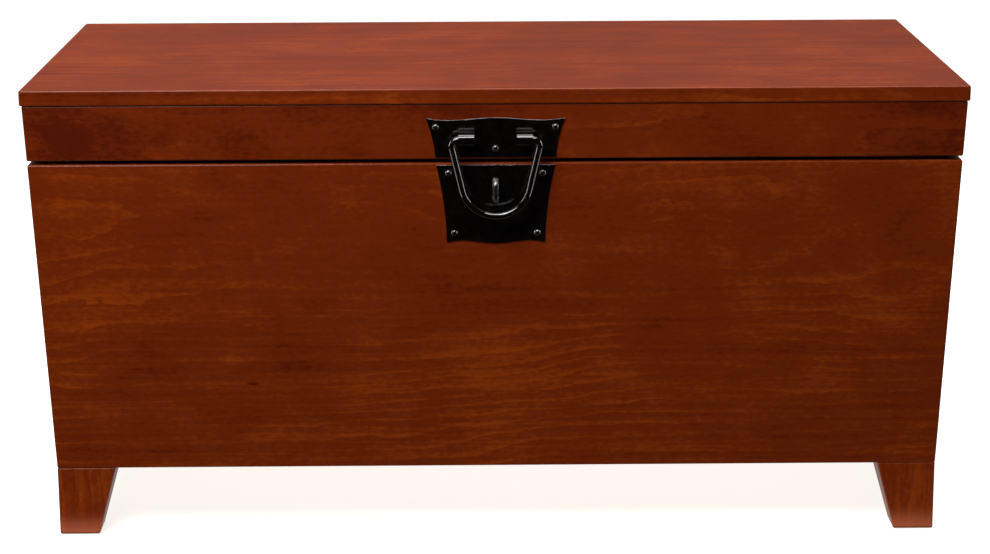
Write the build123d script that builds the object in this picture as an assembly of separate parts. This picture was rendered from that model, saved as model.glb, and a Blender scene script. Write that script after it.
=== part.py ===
from build123d import *
from math import acos, asin, atan2, cos, degrees, hypot, radians, sin, sqrt
import os

# A wooden storage chest: a box with leaning walls on four tapered legs, and a hinged lid
# held shut by a bail handle that drops over a padlock staple. Millimetres, +Z up, the
# front faces -Y, and the floor is Z = 0.

# ---------------------------------------------------------------- overall sizes
CHEST_LENGTH = 920.0
CHEST_DEPTH = 460.0
CHEST_HEIGHT = 457.0
TOP_THICKNESS = 15.0
TOP_OVERHANG = 2.0
WALL_LEAN = 0.044  # how far each wall moves in for each millimetre it goes down
PANEL = 15.0
LID_DEPTH = 54.9
LID_GAP = 3.7
LEG_HEIGHT = 70.4

# ---------------------------------------------------------------- woodwork
EASE = 2.0
TOP_EASE = 1.6
TOP_CORNER = 3.0
BOTTOM_THICKNESS = 12.0
CLEAT = 18.0
LEG_BLOCK = 62.0
POST = 22.0
POST_TOP_CLEAR = 22.0
LEG_TOP = 58.6
LEG_FOOT = 40.0
LEG_CORNER = 2.6
LEG_EASE = 1.2
LEG_BOLT_INSET = 30.0
LID_BLOCK_SETBACK = 13.4  # how far the lid's inner blocks stay above its lower edge
BATTEN_WIDTH = 42.0
BATTEN_HEIGHT = 18.0
BATTEN_X = 230.0
RUN_OUT = 10.0  # how far a cutter runs past the wood it cuts
ON_FACE = 0.5  # how far from a face an edge may lie and still belong to it

# ---------------------------------------------------------------- leg fixings and glides
FIT = 0.05  # radial clearance of a shank, bolt or pin in its hole
BOLT_RADIUS = 4.0
BOLT_IN_LEG = 34.0
BOLT_IN_BLOCK = 14.0
TEE_FLANGE_RADIUS = 9.5
TEE_FLANGE = 1.5
TEE_BARREL_RADIUS = 5.4
TEE_BARREL = 10.0
GLIDE_RADIUS = 9.0
GLIDE_THICKNESS = 4.0
GLIDE_PROUD = 1.0
GLIDE_NAIL_RADIUS = 1.2
GLIDE_NAIL = 14.0

# ---------------------------------------------------------------- lock plates
PLATE = 1.5
PLATE_EASE = 0.5
UPPER_PLATE_RISE = 2.2  # from the lid's lower edge up to the plate
UPPER_PLATE_HEIGHT = 38.9
UPPER_TOP_HALF = 67.5
UPPER_FOOT_HALF = 58.6
UPPER_CREST = 0.5
UPPER_DIP = 2.0
UPPER_DIP_HALF = 41.7
UPPER_BOW = 1.6
LOWER_PLATE_DROP = 1.8  # from the box's rim down to the plate
LOWER_PLATE_HEIGHT = 77.6
LOWER_TOP_HALF = 57.9
LOWER_FOOT_HALF = 48.0
LOWER_CREST = 1.3
LOWER_DIP = 1.7
LOWER_DIP_HALF = 28.7
LOWER_BOW = 2.2
UPPER_SCREWS = [(-58.2, 30.0), (58.2, 30.0), (0.0, 8.8)]
LOWER_SCREWS = [(-46.0, -8.2), (46.0, -8.2), (-40.6, -68.5), (40.6, -68.5)]
DOME_RADIUS = 3.3
DOME_HEIGHT = 1.9
DOME_SHANK_RADIUS = 1.6
DOME_SHANK = 11.0
DRIVE_WIDTH = 0.9
DRIVE_LENGTH = 3.6
DRIVE_DEPTH = 1.2

# ---------------------------------------------------------------- bail handle and staple
ROD_RADIUS = 3.4
LUG_RISE = 20.6  # from the upper plate's lower edge up to the bail's pivot
LUG_STANDOFF = 13.5  # from the upper plate's face to the pivot
LUG_RADIUS = 5.9
LUG_NECK = 7.0
LUG_INNER_X = 20.6
LUG_OUTER_X = 36.0
BAIL_END_INSET = 0.8
BAIL_HALF_WIDTH = 44.3
BAIL_DROP = 75.5
BAIL_BOTTOM_RADIUS = 33.5
BAIL_BEND = 6.6
STAPLE_DROP = 25.0  # from the lower plate's upper edge down to the staple's middle
STAPLE_ROD_RADIUS = 3.5
STAPLE_REACH = 13.3
STAPLE_HALF_SPACING = 9.9
STAPLE_BEND = 6.8
STAPLE_TAIL = 12.0

# ---------------------------------------------------------------- hinges
HINGE_X = 300.0
HINGE_LENGTH = 76.0
KNUCKLES = 5
KNUCKLE_RADIUS = 3.2
KNUCKLE_GAP = 0.3
KNUCKLE_STANDOFF = 0.5
HINGE_PIN_RADIUS = 1.5
PIN_HEAD_RADIUS = 2.7
PIN_HEAD = 1.2
LEAF_GAP = 0.4
LEAF_NOTCH = 0.4
LEAF_INSET = 1.0
LEAF_SCREW_PITCH = 27.0
FLAT_HEAD_RADIUS = 3.0
FLAT_SHANK_RADIUS = 1.5
FLAT_HEAD_SINK = 0.1
SLOT_CUT = 0.8
LEAF_SCREW = 20.0
BATTEN_SCREW = 27.0
BATTEN_SCREW_PITCH = 150.0
LID_OPENING = 95.0

# ---------------------------------------------------------------- lid stays
STAY_RADIUS = 160.0  # both stay pivots stand this far from the hinge axis
LID_PIVOT_RISE = 30.0
BOX_STUD_DROP = 40.0
STAY_BLOCK_X = 421.5
STAY_COLLAR = 1.0
STAY_COLLAR_RADIUS = 5.5
STAY_PLAY = 0.2
STAY_WIDTH = 16.0
STAY_THICKNESS = 2.0
STAY_SLOT_PLAY = 0.2
STAY_END_PLAY = 0.6
STAY_TAIL = 4.0
STUD_RADIUS = 3.0
STUD_HEAD_RADIUS = 6.0
STUD_HEAD = 2.4
STUD_SHANK_RADIUS = 2.2
STUD_SHANK = 12.0
STAY_BLOCK_WIDTH = 44.0
STAY_BLOCK_HEIGHT = 50.0
LID_STAY_SETBACK = 5.4

# ---------------------------------------------------------------- rim bumpers
BUMPER_RADIUS = 4.5
BUMPER_PLAY = 0.1
BUMPER_FROM_FRONT = 60.0

# ---------------------------------------------------------------- worked-out heights
UNDER_TOP = CHEST_HEIGHT - TOP_THICKNESS
LID_BOTTOM = UNDER_TOP - LID_DEPTH
RIM = LID_BOTTOM - LID_GAP
FLOOR_BOTTOM = LEG_HEIGHT + CLEAT
FLOOR_TOP = FLOOR_BOTTOM + BOTTOM_THICKNESS
HINGE_Z = RIM + LID_GAP / 2
UPPER_PLATE_Z = LID_BOTTOM + UPPER_PLATE_RISE
LOWER_PLATE_Z = RIM - LOWER_PLATE_DROP
LUG_Z = UPPER_PLATE_Z + LUG_RISE
STAPLE_Z = LOWER_PLATE_Z - STAPLE_DROP
LEAF = (LID_GAP - LEAF_GAP) / 2
SIDES = {"left": -1, "right": 1}
CORNERS = {"front_left": (-1, -1), "front_right": (1, -1), "back_left": (-1, 1), "back_right": (1, 1)}


def half_length(z):
    """Half the length of the leaning walls, outside, at a height."""
    return CHEST_LENGTH / 2 - TOP_OVERHANG - WALL_LEAN * (UNDER_TOP - z)


def half_depth(z):
    """Half the depth of the leaning walls, outside, at a height."""
    return CHEST_DEPTH / 2 - TOP_OVERHANG - WALL_LEAN * (UNDER_TOP - z)


HINGE_Y = half_depth(HINGE_Z) + KNUCKLE_STANDOFF + KNUCKLE_RADIUS
LID_PIVOT = (HINGE_Y - sqrt(STAY_RADIUS**2 - LID_PIVOT_RISE**2), HINGE_Z + LID_PIVOT_RISE)
BOX_STUD = (HINGE_Y - sqrt(STAY_RADIUS**2 - BOX_STUD_DROP**2), HINGE_Z - BOX_STUD_DROP)


def front_plane(z):
    """Plane on the leaning front face: x to the right, y up the face, z straight out of it."""
    return Plane(origin=(0, -half_depth(z), z), x_dir=(1, 0, 0), z_dir=(0, -1, -WALL_LEAN))


BAIL_AXIS = front_plane(LUG_Z).from_local_coords(Vector(0, 0, PLATE + LUG_STANDOFF))

# The origin is under the middle of the chest's whole depth, pivot lugs and knuckles included.
FRONT_REACH = LUG_RADIUS - BAIL_AXIS.Y
BACK_REACH = max(HINGE_Y + KNUCKLE_RADIUS, CHEST_DEPTH / 2)
TO_FRAME = Pos(0, (FRONT_REACH - BACK_REACH) / 2, 0)


# ---------------------------------------------------------------- shared shapes
def leaning_block(z_low, z_high, inset_x, inset_y):
    """Solid between two heights whose sides follow the leaning walls, set in by the insets."""
    low_x, high_x = half_length(z_low) - inset_x, half_length(z_high) - inset_x
    low_y, high_y = half_depth(z_low) - inset_y, half_depth(z_high) - inset_y
    across = Polygon((-low_x, z_low), (low_x, z_low), (high_x, z_high), (-high_x, z_high), align=None)
    along = Polygon((-low_y, z_low), (low_y, z_low), (high_y, z_high), (-high_y, z_high), align=None)
    across_solid = extrude(Plane.XZ * across, CHEST_DEPTH, both=True)
    along_solid = extrude(Plane.YZ * along, CHEST_LENGTH, both=True)
    return across_solid & along_solid


def keep(shape, x_sign=0, y_sign=0):
    """The part of a shape on the named sides of the middle planes."""
    reach = CHEST_LENGTH
    return shape & Pos(x_sign * reach, y_sign * reach, 0) * Box(2 * reach, 2 * reach, 2 * reach)


def slab(x_low, x_high, y_low, y_high, z_low, z_high):
    """A plain box between six planes."""
    size = Box(x_high - x_low, y_high - y_low, z_high - z_low)
    return Pos((x_low + x_high) / 2, (y_low + y_high) / 2, (z_low + z_high) / 2) * size


def rod_x(radius, x_low, x_high, y, z):
    """A cylinder along X."""
    return Pos((x_low + x_high) / 2, y, z) * Rot(0, 90, 0) * Cylinder(radius, x_high - x_low)


def long_wall(z_low, z_high, y_sign):
    """A front or back board that covers the ends of the side boards, with eased outer edges."""
    cutter = leaning_block(z_low - RUN_OUT, z_high + RUN_OUT, -RUN_OUT, PANEL)
    board = keep(leaning_block(z_low, z_high, 0, 0) - cutter, y_sign=y_sign)
    outer = []
    for edge in board.edges():
        middle = edge.center()
        if abs(abs(middle.Y) - half_depth(middle.Z) + PANEL) > ON_FACE:
            outer.append(edge)
    return fillet(outer, EASE)


def short_wall(z_low, z_high, x_sign):
    """A side board between the front and back boards, with its long outer edges eased."""
    cutter = leaning_block(z_low - RUN_OUT, z_high + RUN_OUT, PANEL, -RUN_OUT)
    board = keep(leaning_block(z_low, z_high, 0, PANEL) - cutter, x_sign=x_sign)
    outer = []
    for edge in board.edges():
        middle = edge.center()
        on_outside = abs(abs(middle.X) - half_length(middle.Z)) < ON_FACE
        if on_outside and abs(middle.Y) < ON_FACE:
            outer.append(edge)
    return fillet(outer, EASE)


def inner_corner(z_low, z_high, size, x_sign, y_sign):
    """A square post or block in one inner corner of the walls."""
    corner = leaning_block(z_low, z_high, PANEL, PANEL)
    corner -= leaning_block(z_low - RUN_OUT, z_high + RUN_OUT, PANEL + size, -RUN_OUT)
    corner -= leaning_block(z_low - RUN_OUT, z_high + RUN_OUT, -RUN_OUT, PANEL + size)
    return keep(corner, x_sign, y_sign)


def flat_screw(length, clearance=0.0):
    """A countersunk wood screw, head up at Z = 0, or the hole for it."""
    cone = FLAT_HEAD_RADIUS - FLAT_SHANK_RADIUS
    head = Pos(0, 0, -FLAT_HEAD_SINK) * Cone(
        FLAT_SHANK_RADIUS, FLAT_HEAD_RADIUS, cone, align=(Align.CENTER, Align.CENTER, Align.MAX)
    )
    shank = Pos(0, 0, -FLAT_HEAD_SINK) * Cylinder(
        FLAT_SHANK_RADIUS + clearance, length + clearance, align=(Align.CENTER, Align.CENTER, Align.MAX)
    )
    if clearance:
        mouth = Cylinder(FLAT_HEAD_RADIUS, FLAT_HEAD_SINK, align=(Align.CENTER, Align.CENTER, Align.MAX))
        return head + shank + mouth
    slot = Pos(0, 0, -FLAT_HEAD_SINK) * Box(2 * FLAT_HEAD_RADIUS, DRIVE_WIDTH / 2, SLOT_CUT)
    return head + shank - slot


def dome_screw():
    """A round-headed screw with a cross recess, its head standing on Z = 0."""
    rise = (DOME_RADIUS**2 + DOME_HEIGHT**2) / (2 * DOME_HEIGHT)
    ball = Pos(0, 0, DOME_HEIGHT - rise) * Sphere(rise)
    head = ball & Cylinder(DOME_RADIUS, DOME_HEIGHT, align=(Align.CENTER, Align.CENTER, Align.MIN))
    shank = Cylinder(DOME_SHANK_RADIUS, DOME_SHANK, align=(Align.CENTER, Align.CENTER, Align.MAX))
    drive = Box(DRIVE_LENGTH, DRIVE_WIDTH, 2 * DRIVE_DEPTH) + Box(DRIVE_WIDTH, DRIVE_LENGTH, 2 * DRIVE_DEPTH)
    return head + shank - Pos(0, 0, DOME_HEIGHT) * drive


def screws_on(plane, places):
    """Round-headed screws standing on a lock plate, as one group."""
    return [plane * Pos(x, y, PLATE) * dome_screw() for x, y in places]


def screw_holes_on(plane, places):
    """Holes for the round-headed screws through a plate and into the wood behind it."""
    hole = Cylinder(DOME_SHANK_RADIUS + FIT, 2 * DOME_SHANK)
    return [plane * Pos(x, y, PLATE) * hole for x, y in places]


# ---------------------------------------------------------------- the box
def leaf_screw_places(x_middle):
    """Where the screws of one hinge leaf stand: x, and y in the middle of the back wall's edge."""
    y = half_depth(HINGE_Z) - PANEL / 2
    return [(x_middle + step * LEAF_SCREW_PITCH, y) for step in (-1, 0, 1)]


def box_leaf_screws(clearance=0.0):
    """The screws of both lower hinge leaves, or their holes."""
    return [
        Pos(x, y, RIM + LEAF) * flat_screw(LEAF_SCREW, clearance)
        for side in SIDES.values()
        for x, y in leaf_screw_places(side * HINGE_X)
    ]


def lid_leaf_screws(clearance=0.0):
    """The screws of both upper hinge leaves, or their holes."""
    return [
        Pos(x, y, LID_BOTTOM - LEAF) * Rot(180, 0, 0) * flat_screw(LEAF_SCREW, clearance)
        for side in SIDES.values()
        for x, y in leaf_screw_places(side * HINGE_X)
    ]


def staple_path(tail):
    """The line of the staple's rod: out of the face, down and back in."""
    out = STAPLE_REACH - STAPLE_ROD_RADIUS
    corners = [
        (-tail, STAPLE_HALF_SPACING),
        (out, STAPLE_HALF_SPACING),
        (out, -STAPLE_HALF_SPACING),
        (-tail, -STAPLE_HALF_SPACING),
    ]
    face = front_plane(STAPLE_Z)
    side_on = Plane(origin=face.from_local_coords(Vector(0, 0, PLATE)), x_dir=face.z_dir, z_dir=-face.x_dir)
    bend = min(STAPLE_BEND, STAPLE_HALF_SPACING - FIT)
    return side_on * FilletPolyline(*corners, radius=bend)


def staple():
    """The padlock staple: a round rod bent to a loop, both tails driven through the front."""
    path = staple_path(STAPLE_TAIL)
    return sweep(Plane(path ^ 0) * Circle(STAPLE_ROD_RADIUS), path=path)


def staple_holes():
    """Holes for the staple's two tails."""
    hole = Cylinder(STAPLE_ROD_RADIUS + FIT, 2 * (STAPLE_TAIL + FIT))
    face = front_plane(STAPLE_Z)
    return [face * Pos(0, side * STAPLE_HALF_SPACING, PLATE) * hole for side in (-1, 1)]


def front_panel():
    """The box's front board, bored for the lower lock plate's screws and the staple."""
    board = long_wall(LEG_HEIGHT, RIM, -1)
    return board - screw_holes_on(front_plane(LOWER_PLATE_Z), LOWER_SCREWS) - staple_holes()


def back_panel():
    """The box's back board, bored for the hinge screws."""
    return long_wall(LEG_HEIGHT, RIM, 1) - box_leaf_screws(FIT)


def bottom_panel():
    """The floor of the box, set between the walls on the cleats and leg blocks."""
    return leaning_block(FLOOR_BOTTOM, FLOOR_TOP, PANEL, PANEL)


def long_cleat(y_sign):
    """A strip under the floor along the front or back wall, between the leg blocks."""
    strip = leaning_block(LEG_HEIGHT, FLOOR_BOTTOM, PANEL + LEG_BLOCK, PANEL)
    cutter = leaning_block(LEG_HEIGHT - RUN_OUT, FLOOR_BOTTOM + RUN_OUT, -RUN_OUT, PANEL + CLEAT)
    return keep(strip - cutter, y_sign=y_sign)


def short_cleat(x_sign):
    """A strip under the floor along a side wall, between the leg blocks."""
    strip = leaning_block(LEG_HEIGHT, FLOOR_BOTTOM, PANEL, PANEL + LEG_BLOCK)
    cutter = leaning_block(LEG_HEIGHT - RUN_OUT, FLOOR_BOTTOM + RUN_OUT, PANEL + CLEAT, -RUN_OUT)
    return keep(strip - cutter, x_sign=x_sign)


def leg_bolt_place(x_sign, y_sign):
    """The upright line of one leg's bolt."""
    x = x_sign * (half_length(LEG_HEIGHT) - LEG_BOLT_INSET)
    y = y_sign * (half_depth(LEG_HEIGHT) - LEG_BOLT_INSET)
    return Pos(x, y, 0)


def tee_nut():
    """A tee nut, its flange's top face on Z = 0."""
    top = (Align.CENTER, Align.CENTER, Align.MAX)
    flange = Cylinder(TEE_FLANGE_RADIUS, TEE_FLANGE, align=top)
    barrel = Cylinder(TEE_BARREL_RADIUS, TEE_BARREL, align=top)
    return flange + barrel - Cylinder(BOLT_RADIUS + FIT, 2 * TEE_BARREL + RUN_OUT)


def leg_block(x_sign, y_sign):
    """The block over a leg, bored for its tee nut."""
    top = (Align.CENTER, Align.CENTER, Align.MAX)
    seat = Cylinder(TEE_FLANGE_RADIUS + FIT, TEE_FLANGE, align=top)
    seat += Cylinder(TEE_BARREL_RADIUS + FIT, CLEAT, align=top)
    block = inner_corner(LEG_HEIGHT, FLOOR_BOTTOM, LEG_BLOCK, x_sign, y_sign)
    return block - leg_bolt_place(x_sign, y_sign) * Pos(0, 0, FLOOR_BOTTOM) * seat


def leg_bolt():
    """A hanger bolt that stands half in the leg and half in its tee nut."""
    bolt = Cylinder(BOLT_RADIUS, BOLT_IN_LEG + BOLT_IN_BLOCK, align=(Align.CENTER, Align.CENTER, Align.MIN))
    return Pos(0, 0, LEG_HEIGHT - BOLT_IN_LEG) * bolt


def glide_place(x_sign, y_sign):
    """The upright line through the middle of one leg's foot."""
    x = x_sign * (half_length(LEG_HEIGHT) - LEG_FOOT / 2)
    y = y_sign * (half_depth(LEG_HEIGHT) - LEG_FOOT / 2)
    return Pos(x, y, 0)


def glide(clearance=0.0):
    """A nail-on glide under a leg, or the seat for it."""
    low = (Align.CENTER, Align.CENTER, Align.MIN)
    disc = Cylinder(GLIDE_RADIUS + clearance, GLIDE_THICKNESS, align=low)
    nail = Cylinder(GLIDE_NAIL_RADIUS + clearance, GLIDE_THICKNESS + GLIDE_NAIL, align=low)
    return disc + nail


def leg(x_sign, y_sign):
    """A tapered leg: upright on its two outer faces and sloping in on the other two."""
    outer_x, outer_y = half_length(LEG_HEIGHT), half_depth(LEG_HEIGHT)

    def profile(outer):
        return Polygon(
            (outer - LEG_FOOT, GLIDE_PROUD),
            (outer, GLIDE_PROUD),
            (outer, LEG_HEIGHT),
            (outer - LEG_TOP, LEG_HEIGHT),
            align=None,
        )

    solid = extrude(Plane.XZ * profile(outer_x), CHEST_DEPTH, both=True)
    solid &= extrude(Plane.YZ * profile(outer_y), CHEST_LENGTH, both=True)
    upright = [edge for edge in solid.edges() if abs(edge.center().Z - LEG_HEIGHT / 2) < LEG_HEIGHT / 4]
    solid = fillet(upright, LEG_CORNER)
    levels = solid.edges().group_by(Axis.Z)
    solid = fillet(levels[0] + levels[-1], LEG_EASE)
    solid -= Pos(outer_x - LEG_BOLT_INSET, outer_y - LEG_BOLT_INSET, LEG_HEIGHT) * Cylinder(
        BOLT_RADIUS + FIT, 2 * BOLT_IN_LEG
    )
    solid -= Pos(outer_x - LEG_FOOT / 2, outer_y - LEG_FOOT / 2, 0) * glide(FIT)
    if x_sign < 0:
        solid = mirror(solid, Plane.YZ)
    if y_sign < 0:
        solid = mirror(solid, Plane.XZ)
    return solid


# ---------------------------------------------------------------- the lid
def top_board():
    """The flat top, bored for the batten screws."""
    board = slab(
        -CHEST_LENGTH / 2, CHEST_LENGTH / 2, -CHEST_DEPTH / 2, CHEST_DEPTH / 2, UNDER_TOP, CHEST_HEIGHT
    )
    board = fillet(board.edges().filter_by(Axis.Z), TOP_CORNER)
    rims = board.edges().group_by(Axis.Z)
    board = fillet(rims[0] + rims[-1], TOP_EASE)
    return board - batten_screws(FIT)


def batten(x_sign):
    """A flat bar under the top board that keeps it from cupping, bored for its screws."""
    room = leaning_block(UNDER_TOP - BATTEN_HEIGHT, UNDER_TOP, 0, PANEL)
    middle = x_sign * BATTEN_X
    bar = room & slab(
        middle - BATTEN_WIDTH / 2, middle + BATTEN_WIDTH / 2, -CHEST_DEPTH, CHEST_DEPTH, 0, CHEST_HEIGHT
    )
    return bar - batten_screws(FIT)


def batten_screws(clearance=0.0):
    """Three screws up through each batten into the top board, or their holes."""
    return [
        Pos(side * BATTEN_X, step * BATTEN_SCREW_PITCH, UNDER_TOP - BATTEN_HEIGHT)
        * Rot(180, 0, 0)
        * flat_screw(BATTEN_SCREW, clearance)
        for side in SIDES.values()
        for step in (-1, 0, 1)
    ]


def lid_front_rail():
    """The lid's front board, bored for the upper lock plate's screws."""
    return long_wall(LID_BOTTOM, UNDER_TOP, -1) - screw_holes_on(front_plane(UPPER_PLATE_Z), UPPER_SCREWS)


def lid_back_rail():
    """The lid's back board, bored for the hinge screws."""
    return long_wall(LID_BOTTOM, UNDER_TOP, 1) - lid_leaf_screws(FIT)


def lid_corner_blocks():
    """Glue blocks in the lid's four corners, as one group."""
    low = LID_BOTTOM + LID_BLOCK_SETBACK
    return [inner_corner(low, UNDER_TOP, POST, *signs) for signs in CORNERS.values()]


# ---------------------------------------------------------------- lock plates, lugs and bail
def wavy_edge(half, edge_y, crest, dip, dip_half):
    """A shallow wave between two corners: down, up to the middle, down and up again."""
    points = [(-half, edge_y), (-dip_half, edge_y - dip), (0, edge_y + crest), (dip_half, edge_y - dip)]
    return Spline(*points, (half, edge_y))


def plate_solid(plane, outline, screws):
    """A lock plate standing on the front face, with a softened front rim and screw holes."""
    solid = extrude(plane * make_face(outline), PLATE)
    rim = solid.faces().sort_by(Axis.Y)[0].edges()
    return fillet(rim, PLATE_EASE) - screw_holes_on(plane, screws)


def upper_lock_plate():
    """The lid's plate: wavy above, hollow at the sides and straight below."""
    high = UPPER_PLATE_HEIGHT
    middle = (UPPER_TOP_HALF + UPPER_FOOT_HALF) / 2 - UPPER_BOW
    outline = wavy_edge(UPPER_TOP_HALF, high, UPPER_CREST, UPPER_DIP, UPPER_DIP_HALF)
    outline += ThreePointArc((-UPPER_TOP_HALF, high), (-middle, high / 2), (-UPPER_FOOT_HALF, 0))
    outline += Line((-UPPER_FOOT_HALF, 0), (UPPER_FOOT_HALF, 0))
    outline += ThreePointArc((UPPER_FOOT_HALF, 0), (middle, high / 2), (UPPER_TOP_HALF, high))
    return plate_solid(front_plane(UPPER_PLATE_Z), outline, UPPER_SCREWS)


def lower_lock_plate():
    """The box's plate: straight above, hollow at the sides and wavy below."""
    low = -LOWER_PLATE_HEIGHT
    middle = (LOWER_TOP_HALF + LOWER_FOOT_HALF) / 2 - LOWER_BOW
    outline = wavy_edge(LOWER_FOOT_HALF, low, -LOWER_CREST, -LOWER_DIP, LOWER_DIP_HALF)
    outline += ThreePointArc((-LOWER_FOOT_HALF, low), (-middle, low / 2), (-LOWER_TOP_HALF, 0))
    outline += Line((-LOWER_TOP_HALF, 0), (LOWER_TOP_HALF, 0))
    outline += ThreePointArc((LOWER_TOP_HALF, 0), (middle, low / 2), (LOWER_FOOT_HALF, low))
    return plate_solid(front_plane(LOWER_PLATE_Z), outline, LOWER_SCREWS) - staple_holes()


def bail_lug(x_sign):
    """A pivot tube on a neck, brazed to the upper plate."""
    face = front_plane(LUG_Z)
    width = LUG_OUTER_X - LUG_INNER_X
    middle = x_sign * (LUG_INNER_X + LUG_OUTER_X) / 2
    neck = face * Pos(middle, 0, PLATE + LUG_STANDOFF / 2) * Box(width, LUG_NECK, LUG_STANDOFF)
    low, high = middle - width / 2, middle + width / 2
    tube = rod_x(LUG_RADIUS, low, high, BAIL_AXIS.Y, BAIL_AXIS.Z)
    bore = rod_x(ROD_RADIUS + FIT, low - RUN_OUT, high + RUN_OUT, BAIL_AXIS.Y, BAIL_AXIS.Z)
    return neck + tube - bore


def bail_handle():
    """The bail: one rod from lug to lug, with slanting legs and a round bottom."""
    end = LUG_INNER_X + BAIL_END_INSET
    fall = BAIL_DROP - BAIL_BOTTOM_RADIUS
    slant = acos(BAIL_BOTTOM_RADIUS / hypot(BAIL_HALF_WIDTH, fall)) - atan2(fall, BAIL_HALF_WIDTH)
    apex = BAIL_HALF_WIDTH * cos(slant) / sin(slant)
    corners = [(-end, 0), (-BAIL_HALF_WIDTH, 0), (0, -apex), (BAIL_HALF_WIDTH, 0), (end, 0)]
    hanging = Plane(origin=BAIL_AXIS, x_dir=(1, 0, 0), z_dir=(0, -1, 0))
    path = hanging * FilletPolyline(*corners, radius=[BAIL_BEND, BAIL_BOTTOM_RADIUS, BAIL_BEND])
    return sweep(Plane(path ^ 0) * Circle(ROD_RADIUS), path=path)


# ---------------------------------------------------------------- hinges
def hinge_leaf(x_middle, knuckles, z_low, screw_holes):
    """A hinge leaf with its own knuckles, cut back where the other leaf's knuckles turn."""
    pitch = HINGE_LENGTH / KNUCKLES
    start = x_middle - HINGE_LENGTH / 2
    inner = half_depth(HINGE_Z) - PANEL + LEAF_INSET
    edge = HINGE_Y - KNUCKLE_RADIUS - LEAF_NOTCH
    leaf = slab(start, start + HINGE_LENGTH, inner, edge, z_low, z_low + LEAF)
    for index in knuckles:
        low = start + index * pitch + (KNUCKLE_GAP / 2 if index else 0)
        high = start + (index + 1) * pitch - (KNUCKLE_GAP / 2 if index < KNUCKLES - 1 else 0)
        leaf += slab(low, high, edge, HINGE_Y, z_low, z_low + LEAF)
        leaf += rod_x(KNUCKLE_RADIUS, low, high, HINGE_Y, HINGE_Z)
    leaf -= rod_x(HINGE_PIN_RADIUS + FIT, start - RUN_OUT, start + HINGE_LENGTH + RUN_OUT, HINGE_Y, HINGE_Z)
    return leaf - screw_holes


def hinge_pin(x_middle):
    """A hinge pin with a head at each end."""
    half = HINGE_LENGTH / 2
    pin = rod_x(HINGE_PIN_RADIUS, x_middle - half, x_middle + half, HINGE_Y, HINGE_Z)
    for end in (-1, 1):
        ends = sorted((x_middle + end * half, x_middle + end * (half + PIN_HEAD)))
        pin += rod_x(PIN_HEAD_RADIUS, *ends, HINGE_Y, HINGE_Z)
    return pin


# ---------------------------------------------------------------- lid stays
def stay_span(opening):
    """Distance between the lid pivot and the box stud at a lid angle in degrees."""
    rest = degrees(asin(LID_PIVOT_RISE / STAY_RADIUS) + asin(BOX_STUD_DROP / STAY_RADIUS))
    return 2 * STAY_RADIUS * sin(radians((rest + opening) / 2))


def stay_arm(x_sign):
    """A slotted arm: turns on the lid's pivot, and its slot runs over the box's stud."""
    shortest, longest = stay_span(0) - STAY_END_PLAY, stay_span(LID_OPENING) + STAY_END_PLAY
    tail = longest + STAY_TAIL
    bar = Pos(tail / 2, 0) * SlotCenterToCenter(tail, STAY_WIDTH)
    slot_width = 2 * (STUD_RADIUS + STAY_SLOT_PLAY)
    bar -= Pos((shortest + longest) / 2, 0) * SlotCenterToCenter(longest - shortest, slot_width)
    bar -= Circle(STUD_RADIUS + FIT)
    x = x_sign * (STAY_BLOCK_X - STAY_COLLAR - STAY_PLAY)
    towards = (0, BOX_STUD[0] - LID_PIVOT[0], BOX_STUD[1] - LID_PIVOT[1])
    plane = Plane(origin=(x, *LID_PIVOT), x_dir=towards, z_dir=(-x_sign, 0, 0))
    return extrude(plane * bar, STAY_THICKNESS)


def stay_stud(x_sign, place):
    """A shoulder screw with a collar against its block and a head over the arm."""
    faces = [STAY_BLOCK_X + STUD_SHANK, STAY_BLOCK_X, STAY_BLOCK_X - STAY_COLLAR]
    faces.append(faces[-1] - STAY_THICKNESS - 2 * STAY_PLAY)
    faces.append(faces[-1] - STUD_HEAD)
    radii = [STUD_SHANK_RADIUS, STAY_COLLAR_RADIUS, STUD_RADIUS, STUD_HEAD_RADIUS]
    stud = None
    for radius, outer, inner in zip(radii, faces[:-1], faces[1:]):
        low, high = sorted((x_sign * outer, x_sign * inner))
        step = rod_x(radius, low, high, *place)
        stud = step if stud is None else stud + step
    return stud


def stay_block(x_sign, place, z_low, z_high):
    """A wood block that gives a leaning side board an upright face for a stay's stud."""
    y = place[0]
    low, high = sorted((x_sign * STAY_BLOCK_X, x_sign * CHEST_LENGTH / 2))
    block = leaning_block(z_low, z_high, PANEL, PANEL)
    block &= slab(low, high, y - STAY_BLOCK_WIDTH / 2, y + STAY_BLOCK_WIDTH / 2, z_low, z_high)
    low, high = sorted((x_sign * (STAY_BLOCK_X - RUN_OUT), x_sign * (STAY_BLOCK_X + STUD_SHANK + FIT)))
    return block - rod_x(STUD_SHANK_RADIUS + FIT, low, high, *place)


# ---------------------------------------------------------------- rim bumpers
def bumpers():
    """Rubber buttons on the side walls' rims that the closed lid rests on, as one group."""
    x = half_length(RIM) - PANEL / 2
    y = -half_depth(RIM) + BUMPER_FROM_FRONT
    button = Cylinder(BUMPER_RADIUS, LID_GAP - BUMPER_PLAY, align=(Align.CENTER, Align.CENTER, Align.MIN))
    return [Pos(side * x, along, RIM) * button for side in SIDES.values() for along in (y, -y)]


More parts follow.
